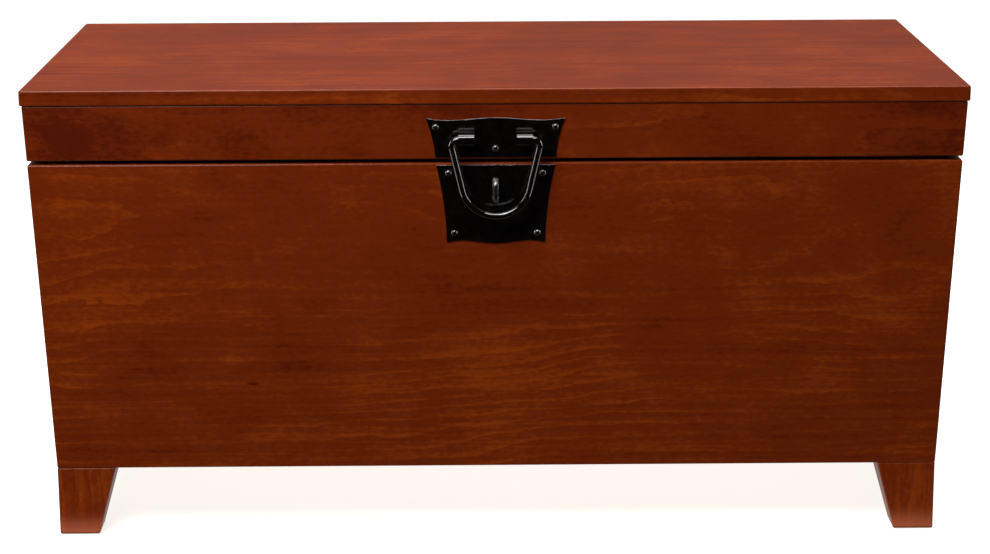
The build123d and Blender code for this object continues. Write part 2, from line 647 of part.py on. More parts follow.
def make_nodes():
    """Every node of the chest, by name, before the move to the shared frame."""
    nodes = {
        "front_panel": front_panel(),
        "back_panel": back_panel(),
        "bottom_panel": bottom_panel(),
        "bottom_cleat_front": long_cleat(-1),
        "bottom_cleat_back": long_cleat(1),
        "top_board": top_board(),
        "lid_front_rail": lid_front_rail(),
        "lid_back_rail": lid_back_rail(),
        "lid_corner_blocks": lid_corner_blocks(),
        "batten_screws": batten_screws(),
        "upper_lock_plate": upper_lock_plate(),
        "lower_lock_plate": lower_lock_plate(),
        "upper_plate_screws": screws_on(front_plane(UPPER_PLATE_Z), UPPER_SCREWS),
        "lower_plate_screws": screws_on(front_plane(LOWER_PLATE_Z), LOWER_SCREWS),
        "padlock_staple": staple(),
        "bail_handle": bail_handle(),
        "box_leaf_screws": box_leaf_screws(),
        "lid_leaf_screws": lid_leaf_screws(),
        "rim_bumpers": bumpers(),
        "leg_bolts": [leg_bolt_place(*signs) * leg_bolt() for signs in CORNERS.values()],
        "leg_tee_nuts": [
            leg_bolt_place(*signs) * Pos(0, 0, FLOOR_BOTTOM) * tee_nut() for signs in CORNERS.values()
        ],
        "foot_glides": [glide_place(*signs) * glide() for signs in CORNERS.values()],
        "box_stay_studs": [stay_stud(side, BOX_STUD) for side in SIDES.values()],
        "lid_stay_pivots": [stay_stud(side, LID_PIVOT) for side in SIDES.values()],
    }
    for name, signs in CORNERS.items():
        nodes[f"leg_{name}"] = leg(*signs)
        nodes[f"leg_block_{name}"] = leg_block(*signs)
        nodes[f"corner_post_{name}"] = inner_corner(FLOOR_TOP, RIM - POST_TOP_CLEAR, POST, *signs)
    box_knuckles = range(0, KNUCKLES, 2)
    lid_knuckles = range(1, KNUCKLES, 2)
    for name, side in SIDES.items():
        nodes[f"{name}_panel"] = short_wall(LEG_HEIGHT, RIM, side)
        nodes[f"lid_{name}_rail"] = short_wall(LID_BOTTOM, UNDER_TOP, side)
        nodes[f"bottom_cleat_{name}"] = short_cleat(side)
        nodes[f"lid_batten_{name}"] = batten(side)
        nodes[f"bail_lug_{name}"] = bail_lug(side)
        nodes[f"hinge_{name}_box_leaf"] = hinge_leaf(side * HINGE_X, box_knuckles, RIM, box_leaf_screws(FIT))
        nodes[f"hinge_{name}_lid_leaf"] = hinge_leaf(
            side * HINGE_X, lid_knuckles, LID_BOTTOM - LEAF, lid_leaf_screws(FIT)
        )
        nodes[f"hinge_{name}_pin"] = hinge_pin(side * HINGE_X)
        nodes[f"stay_arm_{name}"] = stay_arm(side)
        half = STAY_BLOCK_HEIGHT / 2
        nodes[f"box_stay_block_{name}"] = stay_block(side, BOX_STUD, BOX_STUD[1] - half, BOX_STUD[1] + half)
        low = LID_BOTTOM + LID_STAY_SETBACK
        nodes[f"lid_stay_block_{name}"] = stay_block(side, LID_PIVOT, low, UNDER_TOP)
    return nodes


def write_nodes(nodes):
    """Write each node's solids, in the shared frame, to its own STEP file."""
    os.makedirs("parts", exist_ok=True)
    for name, shape in nodes.items():
        pieces = shape if isinstance(shape, list) else [shape]
        solids = [TO_FRAME * solid for piece in pieces for solid in piece.solids()]
        export_step(Compound(children=solids) if len(solids) > 1 else solids[0], f"parts/{name}.step")


write_nodes(make_nodes())
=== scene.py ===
import logging
import math
from dataclasses import dataclass, field, replace
from enum import Enum

import bmesh
import bpy
from mathutils import Matrix, Vector


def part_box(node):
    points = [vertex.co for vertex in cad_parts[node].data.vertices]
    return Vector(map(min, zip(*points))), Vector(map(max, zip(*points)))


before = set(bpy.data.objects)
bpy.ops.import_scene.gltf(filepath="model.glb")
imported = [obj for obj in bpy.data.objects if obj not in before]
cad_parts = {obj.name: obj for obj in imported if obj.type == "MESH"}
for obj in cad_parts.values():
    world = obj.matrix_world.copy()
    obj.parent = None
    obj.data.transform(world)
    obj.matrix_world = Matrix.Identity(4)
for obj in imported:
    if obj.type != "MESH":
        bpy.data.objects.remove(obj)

LOG = logging.getLogger("chest")
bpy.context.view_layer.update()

Colour = tuple[float, float, float]
Triple = tuple[float, float, float]
Socket = bpy.types.NodeSocket
Link = float | Socket


class Grain(Enum):
    """How a board lies: the axes along its fibres, across its face and through its thickness."""

    LONG_UPRIGHT = (0, 2, 1)
    LONG_FLAT = (0, 1, 2)
    SHORT_UPRIGHT = (1, 2, 0)
    SHORT_FLAT = (1, 0, 2)
    STANDING = (2, 0, 1)


class NodeSheet:
    """Places and joins the shader nodes of one material."""

    def __init__(self, name: str) -> None:
        """Start an empty material.

        Args:
            name: what the material is called.
        """
        self.material = bpy.data.materials.new(name)
        self.material.use_nodes = True
        self.tree = self.material.node_tree
        self.tree.nodes.clear()
        self.shader = self.tree.nodes.new("ShaderNodeBsdfPrincipled")
        output = self.tree.nodes.new("ShaderNodeOutputMaterial")
        self.tree.links.new(self.shader.outputs["BSDF"], output.inputs["Surface"])

    def give(self, socket: Socket, value: Link | tuple) -> None:
        """Link a socket to an output, or set its own value.

        Args:
            socket: the socket to fill.
            value: an output to link, or a plain value.
        """
        if isinstance(value, Socket):
            self.tree.links.new(value, socket)
        else:
            socket.default_value = value

    def math(self, operation: str, first: Link, second: Link = 0.0) -> Socket:
        """One step of arithmetic.

        Args:
            operation: the Math node's operation.
            first: first number or output.
            second: second number or output.

        Returns:
            The output of the step.
        """
        node = self.tree.nodes.new("ShaderNodeMath")
        node.operation = operation
        self.give(node.inputs[0], first)
        self.give(node.inputs[1], second)
        return node.outputs[0]

    def lay(self, grain: Grain, middle: Vector) -> Socket:
        """Coordinates of one board: along its fibres, across its face, through its thickness.

        Args:
            grain: how the board lies.
            middle: the point of the board that becomes zero, in metres.

        Returns:
            The coordinates in metres.
        """
        start = self.tree.nodes.new("ShaderNodeTexCoord").outputs["Object"]
        moved = self.tree.nodes.new("ShaderNodeMapping")
        self.give(moved.inputs["Vector"], start)
        moved.inputs["Location"].default_value = -middle
        split = self.tree.nodes.new("ShaderNodeSeparateXYZ")
        self.give(split.inputs[0], moved.outputs[0])
        joined = self.tree.nodes.new("ShaderNodeCombineXYZ")
        for socket, axis in zip(joined.inputs, grain.value):
            self.give(socket, split.outputs[axis])
        return joined.outputs[0]

    def part(self, kind: str) -> list[Socket]:
        """The x, y and z parts of the object's own coordinates or normals.

        Args:
            kind: "Object" or "Normal".

        Returns:
            The three outputs.
        """
        split = self.tree.nodes.new("ShaderNodeSeparateXYZ")
        self.give(split.inputs[0], self.tree.nodes.new("ShaderNodeTexCoord").outputs[kind])
        return list(split.outputs)

    def stretch(self, where: Socket, scale: Triple, shift: Triple = (0.0, 0.0, 0.0)) -> Socket:
        """Coordinates stretched, then moved, for one pattern.

        Args:
            where: coordinates.
            scale: how many times each is multiplied.
            shift: what is then added to each.

        Returns:
            The new coordinates.
        """
        node = self.tree.nodes.new("ShaderNodeMapping")
        self.give(node.inputs["Vector"], where)
        node.inputs["Scale"].default_value = scale
        node.inputs["Location"].default_value = shift
        return node.outputs[0]

    def reach(self, where: Socket) -> Socket:
        """The distance of a point from zero.

        Args:
            where: coordinates.

        Returns:
            The distance.
        """
        node = self.tree.nodes.new("ShaderNodeVectorMath")
        node.operation = "LENGTH"
        self.give(node.inputs[0], where)
        return node.outputs["Value"]

    def total(self, *terms: tuple[Link, float]) -> Socket:
        """The sum of values, each multiplied by its own number.

        Args:
            terms: pairs of a value and its number.

        Returns:
            The sum.
        """
        result: Link = 0.0
        for value, weight in terms:
            result = self.math("ADD", result, self.math("MULTIPLY", value, weight))
        return result

    def noise(
        self,
        where: Socket,
        scale: float,
        detail: float = 2.0,
        rough: float = 0.5,
        warp: float = 0.0,
    ) -> Socket:
        """A cloud pattern between 0 and 1.

        Args:
            where: coordinates.
            scale: size of the pattern.
            detail: how many finer layers it has.
            rough: strength of the finer layers.
            warp: how far the pattern is bent by itself.

        Returns:
            The pattern's value.
        """
        node = self.tree.nodes.new("ShaderNodeTexNoise")
        self.give(node.inputs["Vector"], where)
        node.inputs["Scale"].default_value = scale
        node.inputs["Detail"].default_value = detail
        node.inputs["Roughness"].default_value = rough
        node.inputs["Distortion"].default_value = warp
        return node.outputs["Fac"]

    def span(
        self,
        value: Socket,
        low: float,
        high: float,
        to_low: float = 0.0,
        to_high: float = 1.0,
    ) -> Socket:
        """Spread one range of values smoothly over another, clamped at its ends.

        Args:
            value: the value to spread.
            low: where its range starts.
            high: where its range ends.
            to_low: the result at the start.
            to_high: the result at the end.

        Returns:
            The result.
        """
        node = self.tree.nodes.new("ShaderNodeMapRange")
        node.interpolation_type = "SMOOTHSTEP"
        self.give(node.inputs["Value"], value)
        names = ("From Min", "From Max", "To Min", "To Max")
        for name, number in zip(names, (low, high, to_low, to_high)):
            node.inputs[name].default_value = number
        return node.outputs["Result"]

    def mix(self, share: Link, first: Colour | Socket, second: Colour | Socket) -> Socket:
        """Blend two colours.

        Args:
            share: how much of the second colour.
            first: the first colour.
            second: the second colour.

        Returns:
            The blended colour.
        """
        node = self.tree.nodes.new("ShaderNodeMix")
        node.data_type = "RGBA"
        factor, colours, result = node.inputs[0], node.inputs[6:8], node.outputs[2]
        self.give(factor, share)
        for socket, colour in zip(colours, (first, second)):
            self.give(socket, colour if isinstance(colour, Socket) else (*colour, 1.0))
        return result

    def ramp(self, value: Socket, stops: list[tuple[float, Colour]]) -> Socket:
        """Turn a value into colours along a ramp.

        Args:
            value: the value.
            stops: the places on the ramp, each with its colour.

        Returns:
            The colour.
        """
        node = self.tree.nodes.new("ShaderNodeValToRGB")
        node.color_ramp.interpolation = "EASE"
        self.give(node.inputs[0], value)
        elements = node.color_ramp.elements
        while len(elements) < len(stops):
            elements.new(1.0)
        for element, (place, colour) in zip(elements, stops):
            element.position = place
            element.color = (*colour, 1.0)
        return node.outputs["Color"]

    def bump(self, height: Socket, depth: float) -> None:
        """Raise the shader's surface by a height pattern.

        Args:
            height: pattern between 0 and 1.
            depth: metres from its lowest to its highest value.
        """
        node = self.tree.nodes.new("ShaderNodeBump")
        node.inputs["Strength"].default_value = 1.0
        node.inputs["Distance"].default_value = depth
        self.give(node.inputs["Height"], height)
        self.tree.links.new(node.outputs["Normal"], self.shader.inputs["Normal"])

    def round_edges(self, flat: float, turned: float) -> Socket:
        """A mask of the eased edges: 0 on a flat face, 1 where the surface turns a corner.

        Args:
            flat: largest part of the normal along one axis where a face still counts as flat.
            turned: the same part where the mask is full.

        Returns:
            The mask's value.
        """
        parts = [self.math("ABSOLUTE", axis) for axis in self.part("Normal")]
        largest = self.math("MAXIMUM", self.math("MAXIMUM", parts[0], parts[1]), parts[2])
        return self.span(self.math("SUBTRACT", flat, largest), 0.0, flat - turned)

    def set(self, **values: float) -> None:
        """Set the shader's own even values.

        Args:
            values: numbers by socket name in lower case, such as coat_weight.
        """
        for name, value in values.items():
            title = name.replace("_", " ").title().replace("Ior", "IOR")
            self.shader.inputs[title].default_value = value


@dataclass(frozen=True)
class Mark:
    """A darker eye in the figure, where a small branch ended, placed from the board's middle."""

    along: float
    across: float
    length: float
    width: float
    strength: float = 0.5


@dataclass(frozen=True)
class Cut:
    """How one board was sawn from its log.

    heart_across and heart_deep say where the log's heart lies from the board's middle, taper how
    fast the log narrows along the board, and ring how thick a year's growth is, all in metres.
    marks are its darker eyes, seed shifts its patterns, and shade darkens the whole board.
    """

    heart_across: float = 0.09
    heart_deep: float = 0.11
    taper: float = 0.022
    ring: float = 0.0075
    marks: tuple[Mark, ...] = ()
    seed: float = 0.0
    shade: float = 0.0


@dataclass(frozen=True)
class StainedWood:
    """Close-grained wood with a red-brown stain under satin lacquer."""

    dark: Colour = (0.118, 0.0104, 0.0006)
    middle: Colour = (0.205, 0.0226, 0.0007)
    light: Colour = (0.340, 0.0490, 0.0010)
    # Lighter eased edges: partly rubbing, partly a painted highlight.
    rubbing_and_sheen: Colour = (0.40, 0.115, 0.045)
    # Painted bounce light: the legs' inner faces paler, as if lit by the floor.
    painted_bounce: Colour = (0.42, 0.130, 0.075)
    # Painted floor light: the legs paler towards their feet.
    painted_floor_light: Colour = (0.64, 0.160, 0.062)
    ring_share: float = 0.15
    blotch_share: float = 0.44
    patch_share: float = 0.16
    streak_share: float = 0.66
    mottle_share: float = 0.46
    fibre_share: float = 0.16
    darkening: float = 0.07
    dark_tone: float = 0.26
    middle_tone: float = 0.52
    light_tone: float = 0.86
    # Height up the legs that the painted floor light reaches.
    floor_light_height: float = 0.030
    specular: float = 0.12
    lacquer: float = 0.26
    lacquer_roughness: float = 0.14
    roughness: float = 0.40
    fibre_depth: float = 0.00004

    def rings(
        self, sheet: NodeSheet, board: Socket, cut: Cut, marks: list[Socket]
    ) -> tuple[Socket, Socket]:
        """Growth rings: arches where the cut runs along them, close streaks where it crosses them.

        Args:
            sheet: the material's nodes.
            board: the board's coordinates.
            cut: how the board was sawn.
            marks: masks of the board's marks, which push the rings aside.

        Returns:
            The rings' tone, and how closely they lie on the face.
        """
        seed = (cut.seed, cut.seed * 0.7, cut.seed * 1.3)
        heart = sheet.stretch(board, (0.0, 1.0, 1.0), (0.0, -cut.heart_across, -cut.heart_deep))
        slow = sheet.noise(sheet.stretch(board, (3.2, 9.0, 9.0), seed), 1.0, 1.0, 0.5)
        wavy = sheet.noise(sheet.stretch(board, (16.0, 44.0, 44.0), seed), 1.0, 2.0, 0.55)
        ragged = sheet.noise(sheet.stretch(board, (70.0, 160.0, 160.0), seed), 1.0, 2.0, 0.6)
        split = sheet.tree.nodes.new("ShaderNodeSeparateXYZ")
        sheet.give(split.inputs[0], board)
        terms = [(sheet.reach(heart), 1.0), (split.outputs[0], cut.taper)]
        terms += [(slow, 0.050), (wavy, 0.010), (ragged, 0.0022)]
        terms += [(mark, 0.006) for mark in marks]
        age = sheet.math("DIVIDE", sheet.total(*terms), cut.ring)
        saw = sheet.math("FRACT", age)
        late = sheet.span(saw, 0.62, 0.97)
        early = sheet.span(saw, 0.0, 0.10)
        tone = sheet.math("MULTIPLY", sheet.total((saw, 0.45), (late, 0.55)), early)
        across = sheet.math("ABSOLUTE", sheet.math("SUBTRACT", split.outputs[1], cut.heart_across))
        return tone, sheet.span(across, 0.02, 0.13)

    def make(
        self, name: str, grain: Grain, middle: Vector, cut: Cut, foot: bool = False
    ) -> bpy.types.Material:
        """Make the finish for one board.

        Args:
            name: the material's name.
            grain: how the board lies.
            middle: the board's middle, in metres.
            cut: how it was sawn.
            foot: whether it is a leg, with painted floor light: paler at its foot and on its inner
                faces.

        Returns:
            The material.
        """
        sheet = NodeSheet(name)
        board = sheet.lay(grain, middle)
        seed = (cut.seed * 1.1, cut.seed * 2.3, cut.seed)
        marks = [self.mark(sheet, board, mark) for mark in cut.marks]
        rings, close = self.rings(sheet, board, cut, marks)
        blotch = sheet.noise(sheet.stretch(board, (13.0, 17.0, 17.0), seed), 1.0, 3.0, 0.55, 0.4)
        patch = sheet.noise(sheet.stretch(board, (4.0, 7.0, 7.0), seed), 1.0, 1.0)
        streak = sheet.noise(sheet.stretch(board, (3.6, 150.0, 150.0), seed), 1.0, 4.0, 0.62, 0.3)
        mottle = sheet.noise(sheet.stretch(board, (150.0, 260.0, 260.0), seed), 1.0, 3.0, 0.65)
        fibre = sheet.noise(sheet.stretch(board, (60.0, 1100.0, 1100.0), seed), 1.0, 2.0, 0.6)
        faded = sheet.math("MULTIPLY", rings, sheet.span(patch, 0.38, 0.62, 0.25, 1.0))
        closeness = sheet.span(close, 0.0, 1.0, 0.35, 1.0)
        streaks = sheet.math("MULTIPLY", sheet.math("SUBTRACT", streak, 0.5), closeness)
        terms = [(faded, self.ring_share), (blotch, self.blotch_share), (patch, self.patch_share)]
        terms += [(streaks, self.streak_share), (mottle, self.mottle_share), (fibre, self.fibre_share)]
        terms += [(mask, -mark.strength) for mask, mark in zip(marks, cut.marks)]
        tone = sheet.math("SUBTRACT", sheet.total(*terms), self.darkening + cut.shade)
        places = (self.dark_tone, self.middle_tone, self.light_tone)
        colour = sheet.ramp(tone, list(zip(places, (self.dark, self.middle, self.light))))
        # Painted highlight on the eased edges, partly rubbing: lighter where the surface turns a
        # corner.
        uneven = sheet.span(streak, 0.35, 0.70, 0.10, 0.40)
        edge_rubbing_and_sheen = sheet.math("MULTIPLY", sheet.round_edges(0.985, 0.80), uneven)
        colour = sheet.mix(edge_rubbing_and_sheen, colour, self.rubbing_and_sheen)
        # Legs get painted floor light at their feet and on their inner faces.
        if foot:
            colour = self.paint_floor_light(sheet, colour, mottle, middle)
        sheet.give(sheet.shader.inputs["Base Color"], colour)
        worked = sheet.total((blotch, 1.0), (fibre, 1.0))
        rough = sheet.span(worked, 0.7, 1.3, self.roughness - 0.05, self.roughness + 0.06)
        sheet.give(sheet.shader.inputs["Roughness"], rough)
        sheet.set(specular_ior_level=self.specular)
        sheet.set(coat_weight=self.lacquer, coat_roughness=self.lacquer_roughness)
        sheet.bump(sheet.total((fibre, 0.7), (mottle, 0.3)), self.fibre_depth)
        return sheet.material

    def mark(self, sheet: NodeSheet, board: Socket, mark: Mark) -> Socket:
        """The mask of one mark.

        Args:
            sheet: the material's nodes.
            board: the board's coordinates.
            mark: the mark.

        Returns:
            The mask's value: 1 in the mark's middle, 0 outside it.
        """
        scale = (2.0 / mark.length, 2.0 / mark.width, 0.0)
        shift = (-mark.along * scale[0], -mark.across * scale[1], 0.0)
        edge = sheet.noise(sheet.stretch(board, (60.0, 120.0, 120.0)), 1.0, 2.0)
        distance = sheet.total((sheet.reach(sheet.stretch(board, scale, shift)), 1.0), (edge, 0.5))
        return sheet.span(distance, 1.45, 0.65)

    def paint_floor_light(self, sheet: NodeSheet, colour: Socket, jitter: Socket, middle: Vector) -> Socket:
        """Paint floor light on a leg: pale at its foot, and paler on the face turned to the chest's
        middle.

        Args:
            sheet: the material's nodes.
            colour: the stain's colour.
            jitter: a fine pattern that makes the edge of the painted light uneven.
            middle: the leg's middle, in metres.

        Returns:
            The colour with the painted floor light.
        """
        # Painted floor light: paler towards the floor, with a ragged top edge.
        height = sheet.total((sheet.part("Object")[2], 1.0), (jitter, 0.006))
        rubbing_and_sheen = sheet.math("MULTIPLY", sheet.span(height, self.floor_light_height, -0.004), 0.75)
        # Painted bounce light: the face turned to the chest's middle is paler.
        inward = sheet.math("MULTIPLY", sheet.part("Normal")[0], -math.copysign(1.0, middle.x))
        colour = sheet.mix(sheet.span(inward, 0.80, 0.95, 0.0, 0.8), colour, self.painted_bounce)
        return sheet.mix(rubbing_and_sheen, colour, self.painted_floor_light)


@dataclass(frozen=True)
class PlainPine:
    """Unfinished softwood inside the chest."""

    early: Colour = (0.50, 0.335, 0.185)
    late: Colour = (0.34, 0.19, 0.085)

    def make(self, name: str, grain: Grain, middle: Vector, cut: Cut) -> bpy.types.Material:
        """Make the finish for one unfinished piece.

        Args:
            name: the material's name.
            grain: how the piece lies.
            middle: the piece's middle, in metres.
            cut: how it was sawn.

        Returns:
            The material.
        """
        sheet = NodeSheet(name)
        board = sheet.lay(grain, middle)
        rings, _ = STAIN.rings(sheet, board, cut, [])
        fibre = sheet.noise(sheet.stretch(board, (25.0, 800.0, 800.0)), 1.0, 3.0, 0.6)
        tone = sheet.total((rings, 0.6), (fibre, 0.5))
        colour = sheet.ramp(tone, [(0.15, self.early), (0.95, self.late)])
        sheet.give(sheet.shader.inputs["Base Color"], colour)
        sheet.give(sheet.shader.inputs["Roughness"], sheet.span(fibre, 0.3, 0.7, 0.62, 0.78))
        sheet.set(specular_ior_level=0.3)
        sheet.bump(fibre, 0.00008)
        return sheet.material


@dataclass(frozen=True)
class Metal:
    """A painted or plated metal, finely uneven, with rubbing and a painted highlight on its edges."""

    colour: Colour
    mottle: Colour
    rubbing_and_sheen: Colour
    metallic: float
    roughness: float
    coat: float = 0.0
    sheen_and_rubbing: float = 0.3
    depth: float = 0.00002

    def make(self, name: str) -> bpy.types.Material:
        """Make the finish.

        Args:
            name: the material's name.

        Returns:
            The material.
        """
        sheet = NodeSheet(name)
        place = sheet.lay(Grain.LONG_FLAT, Vector())
        clouds = sheet.noise(place, 160.0, 4.0, 0.6)
        fine = sheet.noise(place, 1400.0)
        colour = sheet.mix(sheet.span(clouds, 0.35, 0.7), self.colour, self.mottle)
        # Painted highlight, partly rubbing: eased edges lighter, most where they face up towards the
        # lamps.
        upward = sheet.span(sheet.part("Normal")[2], 0.25, 0.75, 0.35, 1.0)
        edges = sheet.math("MULTIPLY", sheet.round_edges(0.985, 0.85), upward)
        uneven = sheet.span(clouds, 0.30, 0.62, 0.3 * self.sheen_and_rubbing, self.sheen_and_rubbing)
        edge_rubbing_and_sheen = sheet.math("MULTIPLY", edges, uneven)
        sheet.give(sheet.shader.inputs["Base Color"], sheet.mix(edge_rubbing_and_sheen, colour, self.rubbing_and_sheen))
        low, high = max(0.03, self.roughness - 0.05), self.roughness + 0.08
        sheet.give(sheet.shader.inputs["Roughness"], sheet.span(clouds, 0.3, 0.75, low, high))
        sheet.set(metallic=self.metallic, coat_weight=self.coat, coat_roughness=0.08)
        sheet.bump(sheet.math("ADD", clouds, sheet.math("MULTIPLY", fine, 0.25)), self.depth)
        return sheet.material


@dataclass(frozen=True)
class Moulded:
    """Rubber or plastic with a fine moulded grain."""

    colour: Colour
    pale: Colour
    roughness: float
    depth: float = 0.00003

    def make(self, name: str) -> bpy.types.Material:
        """Make the finish.

        Args:
            name: the material's name.

        Returns:
            The material.
        """
        sheet = NodeSheet(name)
        place = sheet.lay(Grain.LONG_FLAT, Vector())
        grain = sheet.noise(place, 2200.0)
        dust = sheet.span(sheet.noise(place, 90.0, 3.0, 0.6), 0.4, 0.8, 0.0, 0.6)
        rough = sheet.span(grain, 0.3, 0.7, self.roughness - 0.06, self.roughness + 0.08)
        sheet.give(sheet.shader.inputs["Base Color"], sheet.mix(dust, self.colour, self.pale))
        sheet.give(sheet.shader.inputs["Roughness"], rough)
        sheet.bump(grain, self.depth)
        return sheet.material


STAIN = StainedWood()
PINE = PlainPine()
# The third colour of each metal lightens its eased edges: partly rubbing, partly a painted highlight.
BLACK_ROD = Metal(
    colour=(0.0030, 0.0018, 0.0016),
    mottle=(0.0055, 0.0036, 0.0032),
    rubbing_and_sheen=(0.05, 0.04, 0.035),
    metallic=0.0,
    roughness=0.13,
    coat=0.9,
    sheen_and_rubbing=0.0,
)
# Its pale pinkish edge colour paints the highlight line along the plate's top edge.
BLACK_PLATE = Metal(
    colour=(0.0030, 0.0016, 0.0014),
    mottle=(0.0055, 0.0034, 0.0030),
    rubbing_and_sheen=(0.46, 0.36, 0.34),
    metallic=0.0,
    roughness=0.16,
    coat=0.8,
    sheen_and_rubbing=0.8,
)
BLACK_SCREW = Metal(
    colour=(0.012, 0.012, 0.013),
    mottle=(0.02, 0.02, 0.021),
    rubbing_and_sheen=(0.30, 0.29, 0.27),
    metallic=0.6,
    roughness=0.24,
    coat=0.3,
    sheen_and_rubbing=0.6,
)
DARK_STEEL = Metal(
    colour=(0.014, 0.013, 0.013),
    mottle=(0.024, 0.023, 0.022),
    rubbing_and_sheen=(0.42, 0.41, 0.40),
    metallic=0.3,
    roughness=0.14,
    coat=0.9,
    sheen_and_rubbing=0.5,
)
PLATED = Metal((0.55, 0.50, 0.38), (0.46, 0.42, 0.33), (0.70, 0.68, 0.62), metallic=1.0, roughness=0.30)
ZINC = Metal((0.62, 0.63, 0.64), (0.50, 0.51, 0.53), (0.75, 0.75, 0.75), metallic=1.0, roughness=0.34)
RUBBER = Moulded((0.02, 0.02, 0.021), (0.06, 0.058, 0.055), roughness=0.72)
GLIDE = Moulded((0.055, 0.035, 0.022), (0.12, 0.09, 0.07), roughness=0.5)


def dress(node: str, material: bpy.types.Material) -> None:
    """Give a CAD node one finish in all of its slots.

    Args:
        node: the node's name.
        material: the finish.
    """
    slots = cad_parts[node].data.materials
    slots.clear()
    slots.append(material)
    LOG.info("dressed %s", node)


def middle_of(node: str) -> Vector:
    """The middle of a CAD node's box at rest."""
    low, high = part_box(node)
    return (Vector(low) + Vector(high)) / 2


FRONT_MARKS = (
    Mark(along=-0.281, across=0.105, length=0.074, width=0.016, strength=0.15),
    Mark(along=-0.243, across=-0.068, length=0.014, width=0.004, strength=0.35),
    Mark(along=-0.175, across=0.014, length=0.050, width=0.022, strength=0.10),
)
# Two broad darker patches make the rail darker towards its two ends.
RAIL_MARKS = (
    Mark(along=-0.40, across=0.0, length=0.16, width=0.08, strength=0.16),
    Mark(along=0.42, across=0.0, length=0.16, width=0.08, strength=0.12),
)
BOARD_CUTS = {
    "front_panel": (Grain.LONG_UPRIGHT, Cut(0.100, 0.105, 0.022, 0.0098, FRONT_MARKS, seed=3.1)),
    "back_panel": (Grain.LONG_UPRIGHT, Cut(-0.03, -0.12, -0.020, 0.0080, seed=7.7)),
    "top_board": (Grain.LONG_FLAT, Cut(0.30, -0.16, 0.012, 0.0052, seed=1.9)),
    "lid_front_rail": (
        Grain.LONG_UPRIGHT,
        Cut(0.015, 0.11, -0.026, 0.0110, RAIL_MARKS, seed=5.3, shade=0.10),
    ),
    "lid_back_rail": (Grain.LONG_UPRIGHT, Cut(-0.02, -0.10, 0.02, 0.0078, seed=9.4)),
    "left_panel": (Grain.SHORT_UPRIGHT, Cut(0.04, 0.12, 0.024, 0.0070, seed=11.2)),
    "right_panel": (Grain.SHORT_UPRIGHT, Cut(-0.06, -0.10, -0.02, 0.0075, seed=13.8)),
    "lid_left_rail": (Grain.SHORT_UPRIGHT, Cut(0.01, 0.10, 0.02, 0.0075, seed=15.1)),
    "lid_right_rail": (Grain.SHORT_UPRIGHT, Cut(-0.02, -0.10, 0.02, 0.0075, seed=17.6)),
}


@dataclass
class Woodwork:
    """The stained boards of the box and the lid, each with its own cut of wood."""

    cuts: dict[str, tuple[Grain, Cut]] = field(default_factory=lambda: dict(BOARD_CUTS))
    legs: tuple[str, ...] = ("leg_front_left", "leg_front_right", "leg_back_left", "leg_back_right")
    leg_cut: Cut = Cut(0.09, 0.08, 0.03, 0.0120)
    leg_seed: float = 20.0
    leg_step: float = 2.7

    def dress(self) -> None:
        """Dress every stained board."""
        for node, (grain, cut) in self.cuts.items():
            dress(node, STAIN.make(f"stained_{node}", grain, middle_of(node), cut))
        for number, node in enumerate(self.legs):
            cut = replace(self.leg_cut, seed=self.leg_seed + number * self.leg_step)
            wood = STAIN.make(f"stained_{node}", Grain.STANDING, middle_of(node), cut, foot=True)
            dress(node, wood)


@dataclass
class InnerTimber:
    """The unfinished softwood inside: floor, cleats, posts, blocks and battens."""

    long_pieces: tuple[str, ...] = ("bottom_panel", "bottom_cleat_front", "bottom_cleat_back")
    short_pieces: tuple[str, ...] = (
        "bottom_cleat_left",
        "bottom_cleat_right",
        "lid_batten_left",
        "lid_batten_right",
    )
    standing_starts: tuple[str, ...] = (
        "corner_post_",
        "leg_block_",
        "box_stay_block_",
        "lid_stay_block_",
        "lid_corner_blocks",
    )
    cut: Cut = Cut(0.12, 0.10, 0.03, 0.0050)
    first_seed: float = 31.0
    seed_step: float = 1.9

    def standing(self) -> list[str]:
        """The nodes whose fibres stand upright."""
        return sorted(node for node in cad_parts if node.startswith(self.standing_starts))

    def dress(self) -> None:
        """Dress every unfinished piece."""
        runs = [
            (self.long_pieces, Grain.LONG_FLAT),
            (self.short_pieces, Grain.SHORT_FLAT),
            (self.standing(), Grain.STANDING),
        ]
        for nodes, grain in runs:
            for number, node in enumerate(nodes):
                cut = replace(self.cut, seed=self.first_seed + number * self.seed_step)
                dress(node, PINE.make(f"pine_{node}", grain, middle_of(node), cut))


@dataclass
class Hardware:
    """Lock plates, bail, staple, hinges, stays and fixings."""

    plates: tuple[str, ...] = ("upper_lock_plate", "lower_lock_plate")
    rods: tuple[str, ...] = ("bail_handle", "bail_lug_left", "bail_lug_right")
    staples: tuple[str, ...] = ("padlock_staple",)
    screws: tuple[str, ...] = ("upper_plate_screws", "lower_plate_screws")
    fixings: tuple[str, ...] = (
        "leg_bolts",
        "leg_tee_nuts",
        "box_stay_studs",
        "lid_stay_pivots",
        "box_leaf_screws",
        "lid_leaf_screws",
        "batten_screws",
    )
    steel_starts: tuple[str, ...] = ("hinge_", "stay_arm_")

    def fittings(self) -> list[str]:
        """The black fittings on the front."""
        return [*self.plates, *self.rods, *self.staples, *self.screws]

    def dress(self) -> None:
        """Dress every metal, rubber and plastic node."""
        steel = [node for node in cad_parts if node.startswith(self.steel_starts)]
        finishes = {
            "black_plate": (BLACK_PLATE, self.plates),
            "black_rod": (BLACK_ROD, self.rods),
            "dark_steel": (DARK_STEEL, self.staples),
            "black_screw": (BLACK_SCREW, self.screws),
            "plated_steel": (PLATED, steel),
            "zinc": (ZINC, self.fixings),
            "bumper_rubber": (RUBBER, ["rim_bumpers"]),
            "glide_plastic": (GLIDE, ["foot_glides"]),
        }
        for name, (finish, nodes) in finishes.items():
            material = finish.make(name)
            for node in sorted(nodes):
                dress(node, material)


